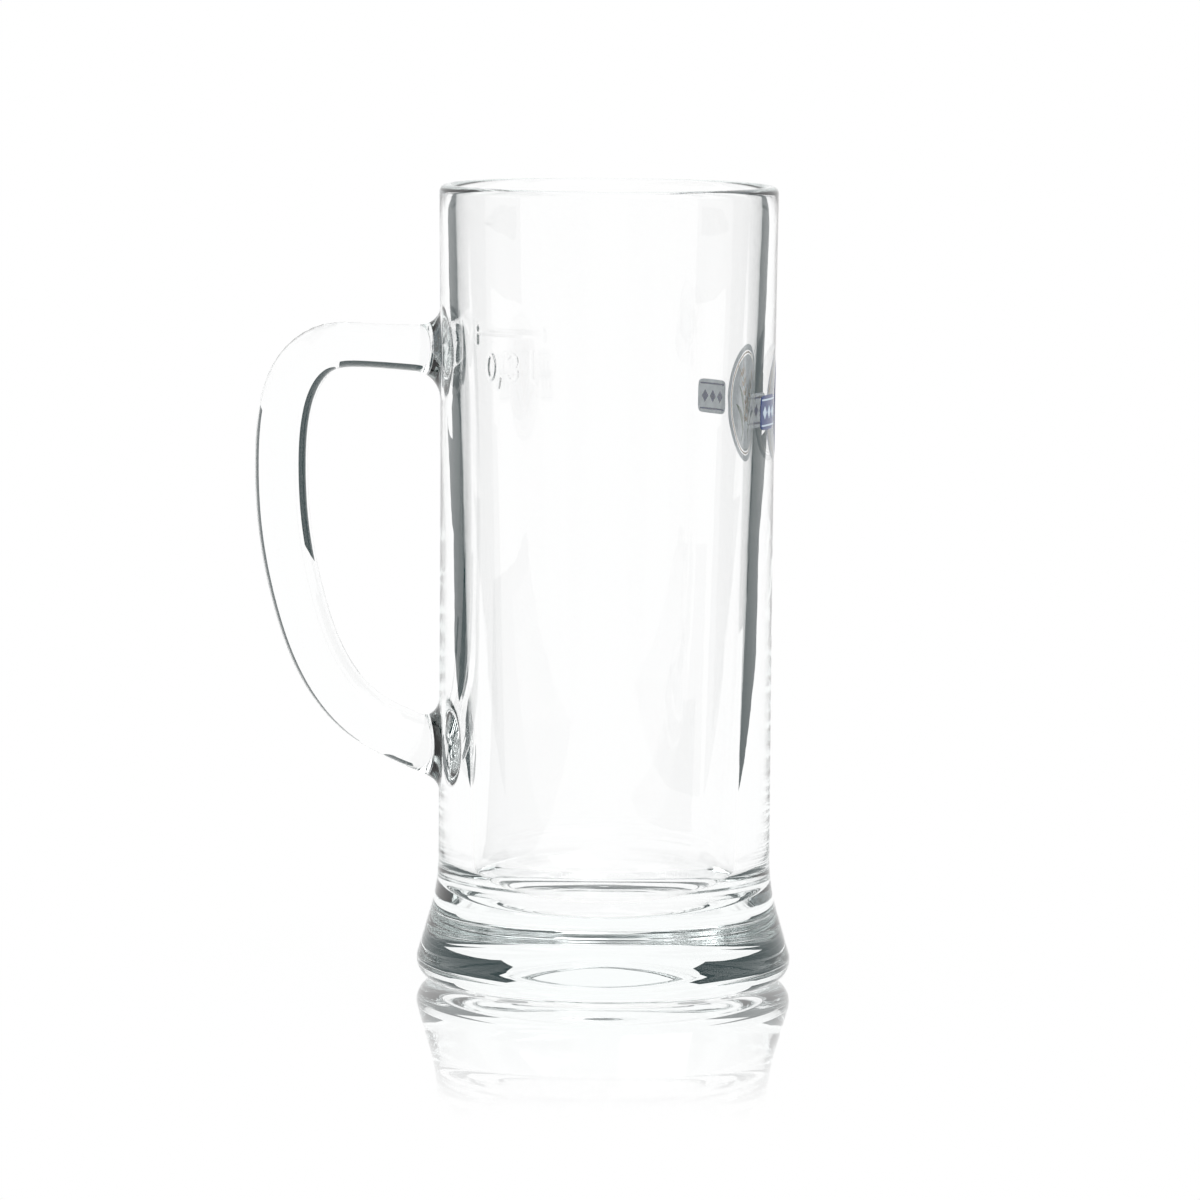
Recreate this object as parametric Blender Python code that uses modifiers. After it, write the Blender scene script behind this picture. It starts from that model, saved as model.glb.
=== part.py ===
"""Pressed glass beer mug: a straight body on a flared foot, with a handle fused to its wall.

The mug stands on the plane z = 0.  Its axis is upright, and the handle points along -X.
All sizes are in metres.
"""

import math

import bmesh
import bpy
import numpy as np

# Body, outside
HEIGHT = 0.162
WAIST_RADIUS = 0.0338
RIM_FLARE = 0.00055
FLARE_START_Z = 0.080
FOOT_SLOPE = math.radians(16.4)
NECK_Z = 0.0195
NECK_FILLET = 0.040
FOOT_EDGE_RADIUS = 0.0042
STANDING_RING_INNER_RADIUS = 0.0275
UNDERSIDE_RECESS = 0.0037
UNDERSIDE_POWER = 1.5

# Body, inside
INNER_RADIUS_AT_FLOOR = 0.02668
INNER_DRAFT = 0.0312
FLOOR_Z = 0.0145
FLOOR_CROWN = 0.0012
FLOOR_FILLET = 0.0105

# Handle: how far each station is from the mug's axis, its height and its thickness in the upright plane
HANDLE_STATIONS = (
    (0.0300, 0.1286, 0.0176),
    (0.0336, 0.1286, 0.0170),
    (0.0356, 0.1286, 0.0128),
    (0.0392, 0.1287, 0.0094),
    (0.0500, 0.1292, 0.0090),
    (0.0572, 0.1285, 0.0096),
    (0.0624, 0.1240, 0.0105),
    (0.0653, 0.1160, 0.0108),
    (0.0661, 0.1050, 0.0108),
    (0.0653, 0.0915, 0.0108),
    (0.0624, 0.0771, 0.0107),
    (0.0570, 0.0632, 0.0106),
    (0.0492, 0.0540, 0.0107),
    (0.0398, 0.0490, 0.0110),
    (0.0362, 0.0477, 0.0130),
    (0.0338, 0.0469, 0.0168),
    (0.0305, 0.0458, 0.0172),
)
HANDLE_REACH = 0.0715
SEAT_GAP = 0.0003

# Fired enamel print: a round panel with a bar on each side
PRINT_TURN = math.radians(13.5)
PRINT_Z = 0.117
PANEL_RADIUS = 0.0120
BAR_START = 0.0132
BAR_END = 0.0228
BAR_HEIGHT = 0.0070
ENAMEL_THICKNESS = 0.0003

# How finely round shapes are cut
BODY_STEPS = 64
PANEL_GRID = 10

GLASS_COLOUR = (0.93, 0.97, 0.96, 1.0)
BLUE_COLOUR = (0.012, 0.035, 0.150, 1.0)
GREY_BLUE_COLOUR = (0.46, 0.56, 0.65, 1.0)

FLOOR_TO_WALL_Z = FLOOR_Z + FLOOR_FILLET
FOOT_EDGE_CENTRE = (
    WAIST_RADIUS
    + NECK_Z * math.tan(FOOT_SLOPE)
    - FOOT_EDGE_RADIUS * (1 + math.sin(FOOT_SLOPE)) / math.cos(FOOT_SLOPE)
)
FOOT_RADIUS = FOOT_EDGE_CENTRE + FOOT_EDGE_RADIUS
# The origin is under the middle of the mug's box, so the axis stands a little towards +X.
AXIS_X = (HANDLE_REACH - FOOT_RADIUS) / 2


def clear_scene():
    """Remove every object and the collections that held them."""
    for old in list(bpy.data.objects):
        bpy.data.objects.remove(old, do_unlink=True)
    for old in list(bpy.data.collections):
        bpy.data.collections.remove(old)


def make_collection(name):
    collection = bpy.data.collections.new(name)
    bpy.context.scene.collection.children.link(collection)
    return collection


def make_material(name, colour, roughness, transmission=0.0):
    """A Principled material with one colour; glass lets light through."""
    material = bpy.data.materials.new(name)
    material.use_nodes = True
    shader = material.node_tree.nodes["Principled BSDF"]
    shader.inputs["Base Color"].default_value = colour
    shader.inputs["Roughness"].default_value = roughness
    shader.inputs["Metallic"].default_value = 0.0
    shader.inputs["IOR"].default_value = 1.52
    shader.inputs["Transmission Weight"].default_value = transmission
    material.diffuse_color = colour
    return material


def place(name, mesh, collection, axis, material):
    """Put a mesh into the scene under the mug's axis, with its material."""
    piece = bpy.data.objects.new(name, mesh)
    collection.objects.link(piece)
    piece.parent = axis
    if material:
        mesh.materials.append(material)
    return piece


def arc(centre, radius, start, end, count):
    """Points on an arc from one angle to another, both ends included."""
    turns = np.linspace(start, end, count)
    return [(centre[0] + radius * math.cos(t), centre[1] + radius * math.sin(t)) for t in turns]


def wall_radius(z):
    """Outer radius of the wall above the neck: straight, then opening slightly to the rim."""
    rise = max(0.0, (z - FLARE_START_Z) / (HEIGHT - FLARE_START_Z))
    return WAIST_RADIUS + RIM_FLARE * rise**2


def bore_radius(z):
    """Inner radius: the draft that lets the plunger out of the glass."""
    return INNER_RADIUS_AT_FLOOR + INNER_DRAFT * (z - FLOOR_Z)


def inner_points():
    """From the middle of the floor, over its crown and corner, up to the rim."""
    taper = math.atan(INNER_DRAFT)
    corner_r = bore_radius(FLOOR_TO_WALL_Z) - FLOOR_FILLET / math.cos(taper)
    crown = []
    for share in np.linspace(0.0, 1.0, 5)[:-1]:
        lift = FLOOR_CROWN * (0.5 + 0.5 * math.cos(math.pi * share))
        crown.append((corner_r * share, FLOOR_Z + lift))
    corner = arc((corner_r, FLOOR_TO_WALL_Z), FLOOR_FILLET, -math.pi / 2, -taper, 6)
    heights = np.linspace(FLOOR_TO_WALL_Z, HEIGHT, 5)[1:-1]
    return crown + corner + [(bore_radius(z), z) for z in heights]


def rim_points():
    """The rounded lip, from the inside over the top to the outside."""
    half = (wall_radius(HEIGHT) - bore_radius(HEIGHT)) / 2
    return arc((bore_radius(HEIGHT) + half, HEIGHT - half), half, math.pi, 0.0, 9)


def outer_points():
    """Down the wall, out over the foot, in to the standing ring and up into the recess."""
    heights = np.linspace(HEIGHT, FLARE_START_Z, 6)[1:]
    wall = [(wall_radius(z), z) for z in heights]
    neck_top = NECK_Z + NECK_FILLET * math.tan(FOOT_SLOPE / 2)
    neck_centre = (WAIST_RADIUS + NECK_FILLET, neck_top)
    neck = arc(neck_centre, NECK_FILLET, math.pi, math.pi + FOOT_SLOPE, 5)
    edge_centre = (FOOT_EDGE_CENTRE, FOOT_EDGE_RADIUS)
    edge = arc(edge_centre, FOOT_EDGE_RADIUS, FOOT_SLOPE, -math.pi / 2, 9)
    recess = []
    for share in np.linspace(1.0, 0.0, 6):
        rise = UNDERSIDE_RECESS * (1 - share**UNDERSIDE_POWER)
        recess.append((STANDING_RING_INNER_RADIUS * share, rise))
    return wall + neck + edge + recess


def turned_mesh(name, points):
    """A mesh that holds one profile, as edges in the XZ plane."""
    mesh = bpy.data.meshes.new(name)
    edges = [(i, i + 1) for i in range(len(points) - 1)]
    mesh.from_pydata([(r, 0.0, z) for r, z in points], edges, [])
    return mesh


def turn(piece):
    """Turn a profile once round the mug's axis."""
    screw = piece.modifiers.new("turn", "SCREW")
    screw.steps = BODY_STEPS
    screw.render_steps = BODY_STEPS
    screw.use_merge_vertices = True
    screw.merge_threshold = 0.00001
    screw.use_smooth_shade = True


def make_body(parts, axis, glass):
    """Body: wall, floor and foot, pressed in one piece of glass."""
    points = inner_points() + rim_points() + outer_points()
    body = place("glass_body", turned_mesh("glass_body", points), parts, axis, glass)
    turn(body)
    return body


def make_wall_cutter(cutters, axis):
    """The outside of the wall, grown by the gap that the handle's seats keep."""
    low, high = HANDLE_STATIONS[-1][1] - 0.02, HANDLE_STATIONS[0][1] + 0.02
    points = [(0.0, high)]
    points += [(wall_radius(z) + SEAT_GAP, z) for z in np.linspace(high, FLARE_START_Z, 5)]
    points += [(wall_radius(low) + SEAT_GAP, low), (0.0, low)]
    cutter = place("wall_cutter", turned_mesh("wall_cutter", points), cutters, axis, None)
    turn(cutter)
    cutter.hide_render = True
    cutter.display_type = "WIRE"
    return cutter


def handle_curve():
    """The handle's middle line, with its thickness at each station as the curve's radius."""
    curve = bpy.data.curves.new("handle_line", "CURVE")
    curve.dimensions = "3D"
    curve.resolution_u = 4
    curve.bevel_depth = 0.5
    curve.bevel_resolution = 6
    curve.use_fill_caps = True
    spline = curve.splines.new("BEZIER")
    spline.radius_interpolation = "CARDINAL"
    spline.bezier_points.add(len(HANDLE_STATIONS) - 1)
    for point, (reach, height, thickness) in zip(spline.bezier_points, HANDLE_STATIONS):
        point.co = (-reach, 0.0, height)
        point.handle_left_type = "AUTO"
        point.handle_right_type = "AUTO"
        point.radius = thickness
    return curve


def make_handle(parts, axis, glass, cutter):
    """Handle: a round rod with spread ends, each hollowed to sit on the round wall."""
    rod = bpy.data.objects.new("handle_line", handle_curve())
    parts.objects.link(rod)
    bpy.context.view_layer.update()
    mesh = bpy.data.meshes.new_from_object(rod.evaluated_get(bpy.context.evaluated_depsgraph_get()))
    mesh.name = "handle"
    bpy.data.objects.remove(rod, do_unlink=True)
    welded = bmesh.new()
    welded.from_mesh(mesh)
    bmesh.ops.remove_doubles(welded, verts=welded.verts, dist=0.00001)
    bmesh.ops.recalc_face_normals(welded, faces=welded.faces)
    welded.to_mesh(mesh)
    welded.free()
    mesh.shade_smooth()
    mesh.materials.clear()
    handle = place("handle", mesh, parts, axis, glass)
    seats = handle.modifiers.new("seats", "BOOLEAN")
    seats.operation = "DIFFERENCE"
    seats.solver = "EXACT"
    seats.object = cutter
    return handle


def wrap_on_wall(mesh):
    """Carry a flat sheet onto the wall: x becomes the way round, y the height."""
    flat = np.empty(len(mesh.vertices) * 3)
    mesh.vertices.foreach_get("co", flat)
    flat = flat.reshape(-1, 3)
    heights = PRINT_Z + flat[:, 1]
    radii = np.array([wall_radius(z) for z in heights]) + SEAT_GAP
    turns = PRINT_TURN + flat[:, 0] / WAIST_RADIUS
    wrapped = np.stack([radii * np.cos(turns), radii * np.sin(turns), heights], axis=1)
    mesh.vertices.foreach_set("co", wrapped.ravel())
    mesh.update()


def flat_sheet(columns, rows):
    """A square sheet of faces, two units wide, round its own middle."""
    sheet = bmesh.new()
    bmesh.ops.create_grid(sheet, x_segments=columns, y_segments=rows, size=1.0)
    return sheet


def make_enamel(name, sheet, parts, axis, colour):
    """Close a sheet of enamel: wrap it on the wall and give it its thickness outwards."""
    mesh = bpy.data.meshes.new(name)
    sheet.to_mesh(mesh)
    sheet.free()
    wrap_on_wall(mesh)
    mesh.shade_smooth()
    plate = place(name, mesh, parts, axis, colour)
    solid = plate.modifiers.new("thickness", "SOLIDIFY")
    solid.thickness = ENAMEL_THICKNESS
    solid.offset = 1.0
    return plate


def make_panel(parts, axis, colour):
    """Round panel: a square sheet drawn into a disc."""
    sheet = flat_sheet(PANEL_GRID, PANEL_GRID)
    for vert in sheet.verts:
        across, up = vert.co.x, vert.co.y
        vert.co.x = PANEL_RADIUS * across * math.sqrt(1 - up**2 / 2)
        vert.co.y = PANEL_RADIUS * up * math.sqrt(1 - across**2 / 2)
    return make_enamel("enamel_panel", sheet, parts, axis, colour)


def make_bar(name, side, parts, axis, colour):
    """Bar beside the panel, on the side given by the sign."""
    sheet = flat_sheet(6, 4)
    for vert in sheet.verts:
        middle = side * (BAR_START + BAR_END) / 2
        vert.co.x = middle + vert.co.x * (BAR_END - BAR_START) / 2
        vert.co.y = vert.co.y * BAR_HEIGHT / 2
    return make_enamel(name, sheet, parts, axis, colour)


def main():
    clear_scene()
    parts = make_collection("beer_mug")
    cutters = make_collection("cutters")
    axis = bpy.data.objects.new("mug_axis", None)
    axis.location = (AXIS_X, 0.0, 0.0)
    parts.objects.link(axis)
    body_glass = make_material("body_glass", GLASS_COLOUR, 0.02, transmission=1.0)
    handle_glass = make_material("handle_glass", GLASS_COLOUR, 0.03, transmission=1.0)
    panel_enamel = make_material("grey_blue_enamel", GREY_BLUE_COLOUR, 0.30)
    bar_enamel = make_material("blue_enamel", BLUE_COLOUR, 0.30)
    make_body(parts, axis, body_glass)
    make_handle(parts, axis, handle_glass, make_wall_cutter(cutters, axis))
    make_panel(parts, axis, panel_enamel)
    make_bar("enamel_bar_left", -1, parts, axis, bar_enamel)
    make_bar("enamel_bar_right", 1, parts, axis, bar_enamel)


if __name__ == "__main__":
    main()
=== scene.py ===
"""Clear pressed glass beer mug: the looks of its glass, its fired print and its white studio.

The file is laid out as an add-on and is run as a script. All sizes are in metres, in the frame of
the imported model: the mug stands on z = 0, its axis is upright and its handle points along -X.
"""

import math

import bmesh
import bpy
import numpy as np
from bpy.props import FloatProperty, FloatVectorProperty, PointerProperty
from mathutils import Matrix, Vector


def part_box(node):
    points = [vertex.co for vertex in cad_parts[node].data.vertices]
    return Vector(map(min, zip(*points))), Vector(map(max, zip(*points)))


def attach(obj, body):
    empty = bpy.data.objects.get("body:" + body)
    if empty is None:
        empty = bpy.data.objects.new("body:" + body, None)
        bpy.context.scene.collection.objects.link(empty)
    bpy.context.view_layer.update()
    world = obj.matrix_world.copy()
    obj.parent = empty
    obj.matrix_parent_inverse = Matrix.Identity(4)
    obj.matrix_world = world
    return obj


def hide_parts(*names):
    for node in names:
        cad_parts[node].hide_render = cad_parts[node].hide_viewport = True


bl_info = {
    "name": "Glass Beer Mug",
    "version": (1, 0, 0),
    "blender": (4, 5, 0),
    "location": "View3D > Sidebar > Beer Mug",
    "description": "Builds a pressed glass mug with a handle, a fill mark and a fired print",
    "category": "Add Mesh",
}

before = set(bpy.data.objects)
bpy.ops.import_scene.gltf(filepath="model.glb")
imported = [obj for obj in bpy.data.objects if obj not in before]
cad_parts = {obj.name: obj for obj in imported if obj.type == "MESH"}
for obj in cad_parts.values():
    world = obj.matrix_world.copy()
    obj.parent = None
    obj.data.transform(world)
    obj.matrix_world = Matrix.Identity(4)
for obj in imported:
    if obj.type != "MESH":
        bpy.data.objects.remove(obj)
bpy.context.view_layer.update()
BODY_LOW, BODY_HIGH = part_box("glass_body")
PANEL_LOW, PANEL_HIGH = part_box("enamel_panel")
AXIS_X = (BODY_LOW.x + BODY_HIGH.x) / 2
HANDLE_TURN = math.pi

# Handle between its seats: distance from the mug's axis, height and thickness in the upright plane
HANDLE_STATIONS = (
    (0.0392, 0.1287, 0.0094),
    (0.0500, 0.1292, 0.0090),
    (0.0572, 0.1285, 0.0096),
    (0.0624, 0.1240, 0.0105),
    (0.0653, 0.1160, 0.0108),
    (0.0661, 0.1050, 0.0108),
    (0.0653, 0.0915, 0.0108),
    (0.0624, 0.0771, 0.0107),
    (0.0570, 0.0632, 0.0106),
    (0.0492, 0.0540, 0.0107),
    (0.0398, 0.0490, 0.0110),
)

# Upright dark cards on both sides: distance from the axis, near and far end along the view, lower and upper
# edge at the near end, the same at the far end, and how often the light was reflected in the glass at least
SIDE_CARDS = {
    "card": (0.28, 0.127, 0.34, 0.018, 0.51, 0.018, 0.51, 0),
    "wing": (0.28, 0.34, 0.777, 0.05, 0.51, 0.29, 0.51, 1),
    "toe": (0.28, 0.34, 0.65, 0.018, 0.05, 0.018, 0.0182, 1),
    "side": (0.28, -0.06, 0.127, 0.125, 0.30, 0.125, 0.30, 1),
    "strip": (0.135, 0.061, 0.1535, 0.0134, 0.10, 0.033, 0.10, 1),
    "front": (0.22, -0.75, -0.06, 0.04, 0.45, 0.04, 0.45, 2),
}

# Level dark cards overhead and on the table: left, right, near and far side, height, and whether the card is
# for straight light alone
LEVEL_CARDS = {
    "roof": (AXIS_X - 0.20, AXIS_X + 0.20, -0.10, 0.37, 0.50, False),
    "roof_far": (AXIS_X - 0.20, AXIS_X + 0.20, 0.37, 0.62, 0.50, True),
    "mat_left": (-0.45, -0.10, -0.25, 0.02, 0.0012, False),
    "mat_front": (-0.40, 0.0, -0.75, -0.12, 0.0012, True),
}

# Table top: radii of its inner rings, points on a ring, depth under the mug and colour where it is lit
TABLE_RINGS = (0.0, 0.05, 0.2, 1.0)
TABLE_COLUMNS = 64
TABLE_DROP = 0.0002
TABLE_COLOUR = (0.92, 0.92, 0.92, 1.0)
WHITE = (1.0, 1.0, 1.0, 1.0)

# Soft lamp: the length of its side, its place and the point that it faces
LAMP_SIDE = 0.9
LAMP_PLACE = Vector((0.5, -0.6, 1.0))
LAMP_TARGET = Vector((0.0, 0.0, 0.08))

# Counts of points along the turned outline
CROWN_POINTS = 13
CORNER_POINTS = 17
BORE_POINTS = 26
LIP_POINTS = 25
ABOVE_POINTS = 10
BETWEEN_POINTS = 18
BELOW_POINTS = 8
NECK_POINTS = 15
FLANK_POINTS = 9
EDGE_POINTS = 25
RING_POINTS = 6
RECESS_POINTS = 25

# Closer rows at the fill mark: depth of their middle under the line, half height and gain in density
MARK_ROWS = (0.0056, 0.0068, 4.0)

# Closer columns at the fill mark: half width as a share of the line's half, and gain in density
MARK_COLUMNS = (1.25, 9.0)

# Counts of rows and columns of the glass
SEAT_COLUMNS = 25
ROUND_COLUMNS = 218
SEAT_ROWS = 73
PATCH_ROWS = 4
FILLET_ROWS = 16
TUBE_ROWS = 72
WELD_DISTANCE = 1e-7

# Counts of rows and columns of the print's sheets
SHEET_ROWS = 9
SHEET_COLUMNS = 96
LEAF_ROWS = 17
LEAF_COLUMNS = 7

# Ears on the panel, from its middle: the right stalk's foot, bend and tip, and the sizes of its grains
STALK = ((-0.0034, -0.0082), (-0.0010, -0.0022), (0.0040, 0.0052))
STALK_HALF = 0.00020
EAR_START = 0.36
GRAIN_PAIRS = 6
GRAIN_LENGTH = 0.0018
GRAIN_HALF = 0.00042
GRAIN_OFFSET = 0.00020
GRAIN_LEAN = 34.0
AWN_LENGTH = 0.0021
AWN_HALF = 0.00006

# Blades on the right stalk: start and end, half width and bow to the left of the way
LEAF_ENDS = (((-0.0024, -0.0066), (-0.0078, -0.0008)), ((-0.0017, -0.0048), (-0.0062, 0.0032)))
LEAF_HALVES = (0.00075, 0.00060)
LEAF_BOWS = (-0.0012, -0.0010)

# Marks on a bar, as shares of its half length and half height: three lozenges, and a line at each long edge
LOZENGE_STEP = 0.55
LOZENGE_HALF = (0.22, 0.38)
BORDER_RISE = 0.74
BORDER_HALF = (0.88, 0.05)
LOZENGE_POWER = 1.0
BAR_POWER = 7.0

# Enamel: least step between two layers that cross, and the range of its uneven colour and roughness
LAYER = 0.000008
TONE_PLACES = (0.25, 0.75)
TONE_GAINS = (0.88, 1.10)
ROUGHNESS = (0.22, 0.38)
CROWN_GAIN = 0.6


def length(name, default, description):
    """A length in metres."""
    return FloatProperty(name=name, description=description, default=default, unit="LENGTH", precision=5)


def angle(name, degrees, description):
    """An angle, given in degrees and kept in radians."""
    return FloatProperty(
        name=name, description=description, default=math.radians(degrees), subtype="ANGLE", unit="ROTATION"
    )


def share(name, default, description):
    """A plain number."""
    return FloatProperty(name=name, description=description, default=default, precision=4)


def colour(name, default, description):
    """A linear colour."""
    return FloatVectorProperty(
        name=name, description=description, default=default, size=3, subtype="COLOR", min=0.0, max=1.0
    )


class BodySizes(bpy.types.PropertyGroup):
    """Sizes of the mug's body."""

    height: length("Height", BODY_HIGH.z, "From the table to the top of the rim")
    waist_radius: length("Waist radius", 0.0338, "Outer radius of the straight wall")
    rim_flare: length("Rim flare", 0.00055, "How much wider the rim is than the waist")
    flare_start: length("Flare start", 0.080, "Height where the wall begins to open")
    foot_slope: angle("Foot slope", 16.4, "Lean of the foot's flank")
    neck_height: length("Neck height", 0.0195, "Height where the flank would meet the wall")
    neck_fillet: length("Neck fillet", 0.040, "Radius of the hollow above the foot")
    foot_edge: length("Foot edge", 0.0042, "Radius of the foot's lower edge")
    ring_inner: length("Standing ring", 0.0275, "Inner radius of the ring that the mug stands on")
    recess: length("Recess", 0.0037, "Rise of the underside at its middle")
    recess_power: share("Recess power", 1.5, "How late the recess turns down to the ring")
    bore_at_floor: length("Bore at floor", 0.02668, "Inner radius at the height of the floor")
    bore_draft: share("Bore draft", 0.0312, "How much the bore widens for each unit of height")
    floor_height: length("Floor height", 0.0145, "Height of the floor inside")
    floor_crown: length("Floor crown", 0.0012, "Rise of the floor at its middle")
    floor_fillet: length("Floor fillet", 0.0105, "Radius between the floor and the bore")


class HandleSizes(bpy.types.PropertyGroup):
    """Sizes of the handle and of its two seats on the wall."""

    upper_seat: length("Upper seat", 0.1275, "Height of the middle of the upper seat")
    lower_seat: length("Lower seat", 0.0479, "Height of the middle of the lower seat")
    seat_height: length("Seat height", 0.0095, "Half height of a seat's outline")
    seat_width: length("Seat width", 0.0075, "Half width of a seat's outline")
    seat_margin: length("Seat margin", 0.0014, "Plain wall round a seat, inside its opening")
    wall_pull: share("Wall pull", 0.50, "How far the fillet keeps to the wall")
    rod_pull: share("Rod pull", 0.64, "How far the fillet keeps to the rod")


class MarkSizes(bpy.types.PropertyGroup):
    """Sizes of the raised fill mark."""

    turn: angle("Turn", 234.0, "Where the mark's middle is, round the wall")
    line_height: length("Line height", 0.1334, "Height of the fill line")
    line_half: length("Line half", 0.00825, "Half the fill line's length")
    stroke: length("Stroke", 0.0007, "Width of a stroke")
    edge: length("Edge", 0.00028, "Width of a stroke's slope")
    relief: length("Relief", 0.00020, "How far the strokes stand out")


class GlassLook(bpy.types.PropertyGroup):
    """Finish of the glass."""

    tint: colour("Tint", (0.55, 0.86, 0.82), "Colour that a thick piece of the glass turns to")
    density: share("Density", 1.0, "How quickly the tint builds up, for each metre of glass")
    index: share("Index", 1.52, "Index of refraction")
    wave: share("Wave", 0.02, "Strength of the faint waves left by the mould")


class PrintLook(bpy.types.PropertyGroup):
    """Sizes and colours of the fired print."""

    turn: angle("Turn", 13.5, "Where the print's middle is, round the wall")
    height: length("Height", (PANEL_LOW.z + PANEL_HIGH.z) / 2, "Height of the print's middle")
    ring_radius: length("Ring radius", 0.0120, "Outer radius of the ring")
    ring_width: length("Ring width", 0.0012, "Width of the ring")
    line_width: length("Line width", 0.00028, "Width of the thin line inside the ring")
    gap: length("Gap", 0.00030, "Clear glass between the ring, the line and the field")
    bar_start: length("Bar start", 0.0132, "Where a bar begins, from the print's middle")
    bar_end: length("Bar end", 0.0228, "Where a bar ends, from the print's middle")
    bar_height: length("Bar height", 0.0070, "Height of a bar")
    lift: length("Lift", 0.00006, "How far the enamel stands out of the wall")
    depth: length("Depth", 0.00010, "Thickness of the enamel with the skin that is fired into the glass")
    relief: length("Relief", 0.00005, "How far the second layer stands out of the first, on both sides")
    field: colour("Field", (0.42, 0.53, 0.63), "Colour of the field and the marks")
    back: colour("Back", (0.80, 0.88, 0.94), "Colour of the first layer, which shows through the glass")
    blue: colour("Blue", (0.012, 0.035, 0.150), "Colour of the ring and the bars")
    gold: colour("Gold", (0.36, 0.23, 0.08), "Colour of the grains")
    green: colour("Green", (0.06, 0.15, 0.09), "Colour of the stalks and leaves")


class StudioLook(bpy.types.PropertyGroup):
    """The camera, the table and the light."""

    eye_distance: length("Eye distance", 1.348, "How far in front of the mug's axis the camera stands")
    eye_height: length("Eye height", 0.220, "Height of the camera")
    pitch: angle("Pitch", 6.03, "How far the camera looks down")
    yaw: angle("Yaw", 0.0516, "How far the camera looks to the left of the axis")
    roll: angle("Roll", 0.4526, "How far the camera leans to its left")
    lens: share("Lens", 199.92, "Focal length in millimetres, on a sensor 36 mm wide")
    table_radius: length("Table radius", 6.0, "Radius of the table top")
    sheen_start: length("Sheen start", 0.034, "Where the table's mirror begins to fade, from the axis")
    sheen_end: length("Sheen end", 0.165, "Where the table's mirror ends")
    sheen: share("Sheen", 0.80, "Strength of the table's mirror beside the mug")
    shade: share("Shade", 0.08, "How much of the mug's shadow shows beside it")
    shade_end: length("Shade end", 0.12, "Where the shadow has faded away")
    card: colour("Card", (0.0, 0.022, 0.025), "Colour of the cards")
    sky: share("Sky", 0.75, "Light that the surroundings give")
    lamp: share("Lamp", 6.0, "Power of the soft lamp in watts")


def graded(low, high, count, dense):
    """Places from low to high, closer together near each dense stretch.

    The density is 1 plus, for each (middle, half width, gain), the gain times a flat-topped bell;
    the places are equal steps of its running sum.
    """
    fine = np.linspace(low, high, 6001)
    density = np.ones_like(fine)
    for middle, half, gain in dense:
        density += gain * np.exp(-(((fine - middle) / half) ** 4))
    total = np.concatenate([[0.0], np.cumsum((density[1:] + density[:-1]) / 2)])
    return np.interp(np.linspace(0.0, total[-1], count), total, fine)


def arc(centre, radius, start, end, count):
    """Points (r, z) on an arc from one angle to another, both ends included."""
    turns = np.linspace(start, end, count)
    return np.stack([centre[0] + radius * np.cos(turns), centre[1] + radius * np.sin(turns)], axis=-1)


def wall_radius(body, z):
    """Outer radius of the wall: straight, then opening with the square of the height above its start."""
    rise = np.maximum(0.0, (z - body.flare_start) / (body.height - body.flare_start))
    return body.waist_radius + body.rim_flare * rise**2


def bore_radius(body, z):
    """Inner radius of the wall: a cone that widens upwards."""
    return body.bore_at_floor + body.bore_draft * (z - body.floor_height)


def inner_outline(body):
    """From the middle of the floor, over a cosine crown and a round corner, up the cone of the bore."""
    taper = math.atan(body.bore_draft)
    corner_z = body.floor_height + body.floor_fillet
    corner_r = bore_radius(body, corner_z) - body.floor_fillet / math.cos(taper)
    part = np.linspace(0.0, 1.0, CROWN_POINTS)[:-1]
    lift = body.floor_crown * (0.5 + 0.5 * np.cos(math.pi * part))
    crown = np.stack([corner_r * part, body.floor_height + lift], axis=-1)
    corner = arc((corner_r, corner_z), body.floor_fillet, -math.pi / 2, -taper, CORNER_POINTS)
    return [crown, corner]


def lip_outline(body):
    """The rounded lip: an arc that is tangent to the bore and to the outer wall."""
    half = (wall_radius(body, body.height) - bore_radius(body, body.height)) / 2
    middle_z = body.height - half
    middle_r = (wall_radius(body, middle_z) + bore_radius(body, middle_z)) / 2
    flare = 2 * body.rim_flare / (body.height - body.flare_start)
    return arc((middle_r, middle_z), half, math.pi - body.bore_draft, -flare, LIP_POINTS)


def foot_outline(body):
    """The hollow neck, the flank, the rounded edge, the standing ring and the recess underneath."""
    slope = body.foot_slope
    neck_top = body.neck_height + body.neck_fillet * math.tan(slope / 2)
    neck_middle = (body.waist_radius + body.neck_fillet, neck_top)
    neck = arc(neck_middle, body.neck_fillet, math.pi, math.pi + slope, NECK_POINTS)
    edge_r = body.waist_radius + body.neck_height * math.tan(slope)
    edge_r -= body.foot_edge * (1 + math.sin(slope)) / math.cos(slope)
    edge = arc((edge_r, body.foot_edge), body.foot_edge, slope, -math.pi / 2, EDGE_POINTS)
    flank = np.linspace(neck[-1], edge[0], FLANK_POINTS)[1:-1]
    ring = np.linspace((edge_r, 0.0), (body.ring_inner, 0.0), RING_POINTS)[1:-1]
    part = np.linspace(1.0, 0.0, RECESS_POINTS)
    recess = np.stack([body.ring_inner * part, body.recess * (1 - part**body.recess_power)], axis=-1)
    return [neck, flank, edge, ring, recess]


def seat_span(handle, middle):
    """Top and bottom of the opening in the wall for a seat."""
    half = handle.seat_height + handle.seat_margin
    return middle + half, middle - half


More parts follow.
